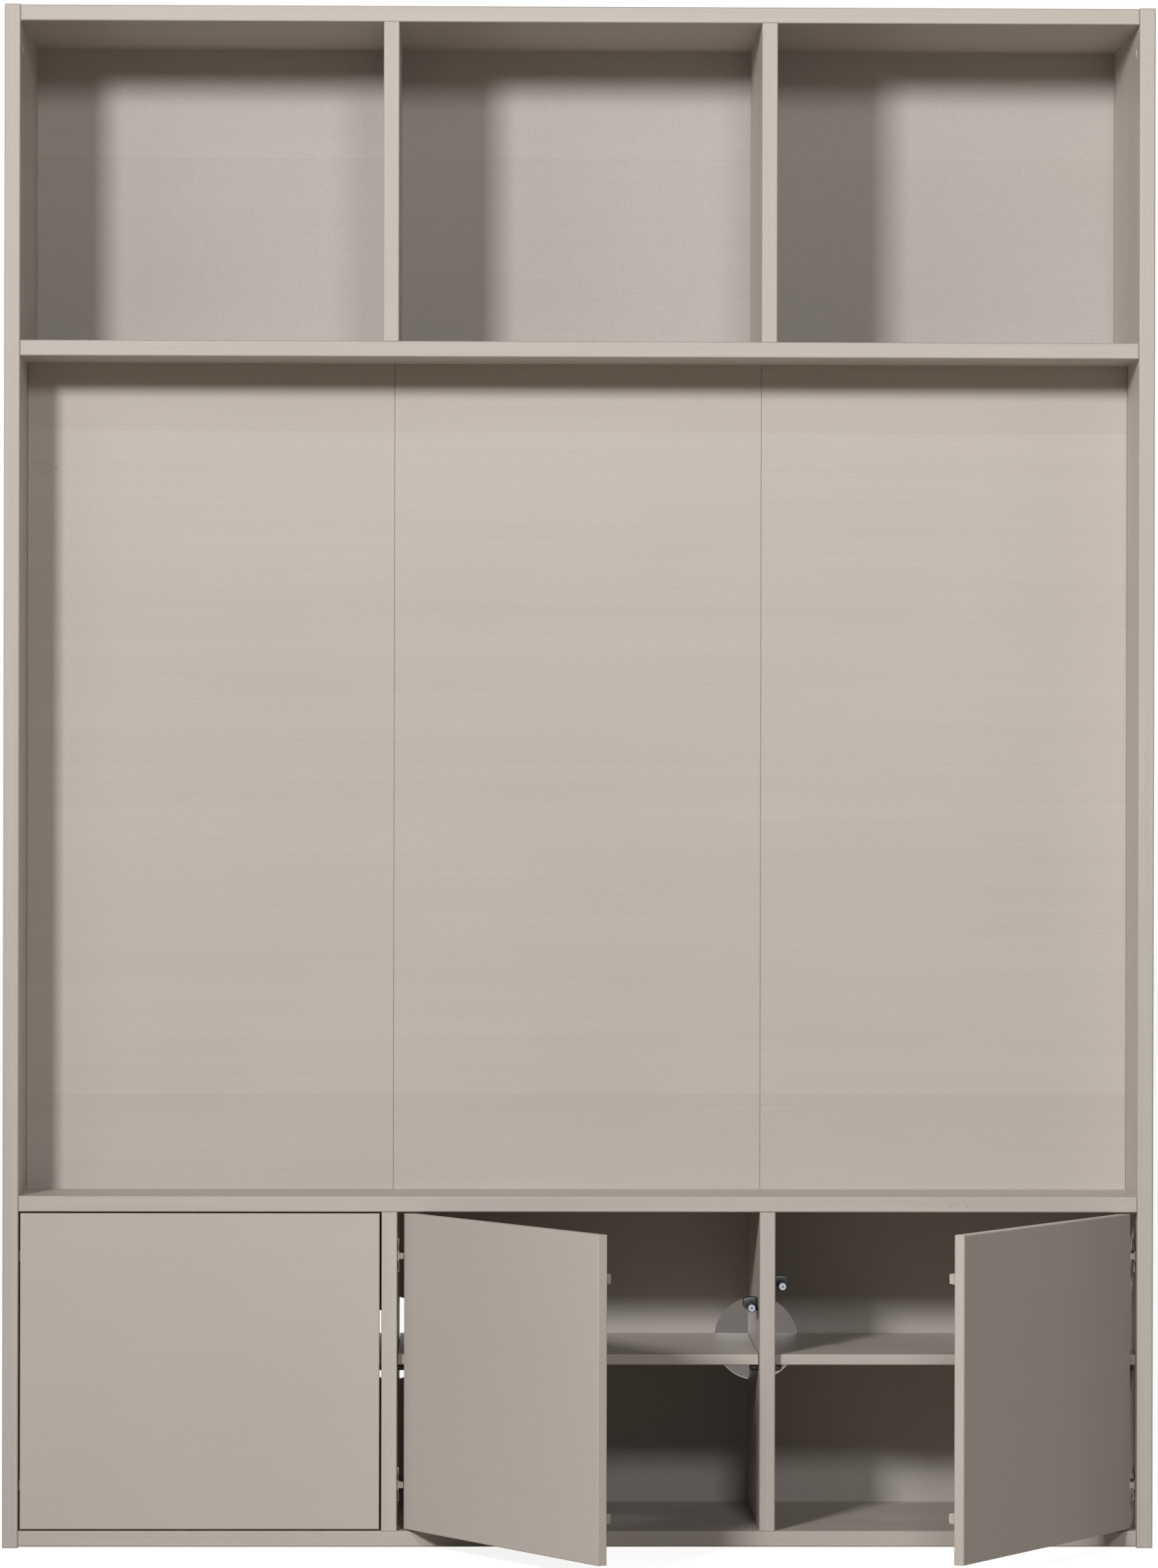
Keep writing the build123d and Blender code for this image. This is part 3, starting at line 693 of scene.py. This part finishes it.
cup = cup_shape()
plate_screws, arm_screws = [], []
for bay in hinge_x:
    side = hung_sides[bay]
    angle = math.radians(-side * open_angles[bay])
    into_door = Vector((-math.sin(angle), math.cos(angle), 0))
    along_door = side * Vector((math.cos(angle), math.sin(angle), 0))
    lie = Matrix((along_door, into_door.cross(along_door), into_door)).transposed().to_quaternion()
    cups, cup_screws = [], []
    for rise in (-hinge_rise, hinge_rise):
        cups.append((on_door(bay, *cup_spot, rise), lie))
        for offset in (-cup_screw_offset, cup_screw_offset):
            spot = on_door(bay, *cup_screw_spot, rise + offset)
            cup_screws.append((spot, facing(*into_door)))
        for offset in (-plate_screw_offset, plate_screw_offset):
            spot = on_carcass(bay, *plate_screw_spot, rise + offset)
            plate_screws.append((spot, facing(side, 0, 0)))
        arm_screws.append((on_carcass(bay, *arm_screw_spot, rise), facing(side, 0, 0)))
    cups = fasten(f"{bay}_pressed_cups", f"{bay}_door", cup, shade_darkened_nickel, cups, spin=0.0)
    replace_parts(cups, f"{bay}_hinge_cups")
    fasten(f"{bay}_cup_screws", f"{bay}_door", screw_head, zinc, cup_screws, 0.9)
fasten("hinge_plate_screws", "carcass", screw_head, zinc, plate_screws)
fasten("hinge_arm_screws", "carcass", screw_head, zinc, arm_screws)
bpy.data.objects.remove(cup)

# A push latch behind each door's free edge: a black moulded barrel in a hood that is screwed to
# the upright, and a pale plunger with a steel core in its tip, which pushes the door open.
black_plastic = plain_finish("black_plastic", (0.014, 0.014, 0.016, 1), 0.0, 0.34, 0.0006)
pale_plastic = plain_finish("pale_plastic", (0.60, 0.63, 0.74, 1), 0.0, 0.32, 0.0006)
tip_steel = plain_finish("tip_steel", (0.22, 0.23, 0.27, 1), 0.6, 0.35, 0.0005)
latch_x = {"left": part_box("lower_divider_left")[0].x, "middle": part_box("lower_divider_right")[0].x,
           "right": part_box("lower_divider_right")[1].x}
latch_sides = {"left": -1, "middle": -1, "right": 1}
axis_reach = 0.0105
hood_front, hood_back, foot_back, foot_thick = 0.054, 0.076, 0.100, 0.0025
hood_outline = ((0.0, -0.0062), (0.0115, -0.0062), (0.0172, -0.0050), (0.0205, -0.0005),
                (0.0210, 0.0040), (0.0198, 0.0088), (0.0168, 0.0112), (0.0130, 0.0117),
                (0.0045, 0.0117), (0.0008, 0.0112), (0.0, 0.0106))
foot_outline = ((0, -0.007), (foot_thick, -0.007), (foot_thick, 0.007), (0, 0.007))


def outlined(name, outline, low, high, ease):
    """A bar with a given outline across X and Z, from one depth to another, its edges eased."""
    shape = bmesh.new()
    ends = [[shape.verts.new((x, y, z)) for x, z in outline] for y in (low, high)]
    shape.faces.new(ends[0])
    shape.faces.new(reversed(ends[1]))
    for step in range(len(outline)):
        after = (step + 1) % len(outline)
        shape.faces.new((ends[0][step], ends[1][step], ends[1][after], ends[0][after]))
    return ease_edges(solid(name, shape), ease)


def latch_z(bay):
    """The height of a latch's axis."""
    low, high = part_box(f"{bay}_latch_plunger")
    return (low.z + high.z) / 2


def moulded(name, bay, body, finish, parts, node):
    """Joins parts, measured from an upright's face, into one piece beside a bay."""
    joined = join(parts)
    side = latch_sides[bay]
    for corner in joined.verts:
        corner.co.x *= side
    if side < 0:
        bmesh.ops.reverse_faces(joined, faces=joined.faces)
    piece = smooth_object(name, joined)
    piece.data.transform(Matrix.Translation((latch_x[bay], side_low.y, latch_z(bay))))
    piece.data.materials.clear()
    piece.data.materials.append(finish)
    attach(piece, body)
    if node:
        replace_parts(piece, node)
    return piece


on_axis = Matrix.Translation((axis_reach, 0, 0)) @ Matrix.Rotation(-math.pi / 2, 4, "X")
latch_screws = []
housings = []
for bay, side in latch_sides.items():
    barrel = turned("barrel", (
        (0, 0.0740), (0.0051, 0.0740), (0.0051, 0.0163), (0.0053, 0.0160), (0.0059, 0.0160),
        (0.0062, 0.0163), (0.0062, 0.0195), (0.0059, 0.0198), (0.0059, 0.0206), (0.0062, 0.0209),
        (0.0062, 0.0757), (0.0059, 0.0760), (0, 0.0760)), 36)
    bore = turned("bore", ((0, 0.050), (0.0056, 0.050), (0.0056, 0.0745), (0, 0.0745)), 36)
    bore.data.transform(on_axis)
    hood = cut(outlined("hood", hood_outline, hood_front, hood_back, 0.0006), bore)
    foot = outlined("foot", foot_outline, hood_front + 0.0001, foot_back, 0.0005)
    housings.append(moulded(f"{bay}_latch_hood", bay, "carcass", black_plastic,
                            ((barrel, on_axis), (hood, Matrix()), (foot, Matrix())), None))
    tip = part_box(f"{bay}_latch_plunger")[0].y - side_low.y
    rod = turned("rod", (
        (0, tip + 0.0007), (0.0019, tip + 0.0007), (0.0021, tip + 0.0001), (0.0024, tip),
        (0.0042, tip), (0.0047, tip + 0.0004), (0.0048, tip + 0.0008), (0.0048, tip + 0.0435),
        (0.0044, tip + 0.044), (0, tip + 0.044)), 32)
    moulded(f"{bay}_plunger_rod", bay, f"{bay}_plunger", pale_plastic,
            ((rod, on_axis),), f"{bay}_latch_plunger")
    eye = turned("eye", (
        (0, tip + 0.00015), (0.0006, tip + 0.00015), (0.0008, tip + 0.0005),
        (0.0016, tip + 0.0005), (0.00185, tip + 0.0003), (0.00185, tip + 0.002),
        (0, tip + 0.002)), 24)
    moulded(f"{bay}_plunger_core", bay, f"{bay}_plunger", tip_steel,
            ((eye, on_axis),), None)
    for inward in (0.083, 0.094):
        spot = (latch_x[bay] + side * foot_thick, side_low.y + inward, latch_z(bay))
        latch_screws.append((spot, facing(side, 0, 0)))
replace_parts(housings[0], "latch_housings")
fasten("latch_screws", "carcass", screw_head, zinc, latch_screws, 0.75)
bpy.data.objects.remove(screw_head)

# Flat pads of black felt, glued under the bottom panel below the dividers. They stand on the
# floor and take the weight of the unit's middle.
felt = plain_finish("black_felt", (0.020, 0.019, 0.018, 1), 0.0, 0.95, 0.0004)
dress("floor_glides", felt)
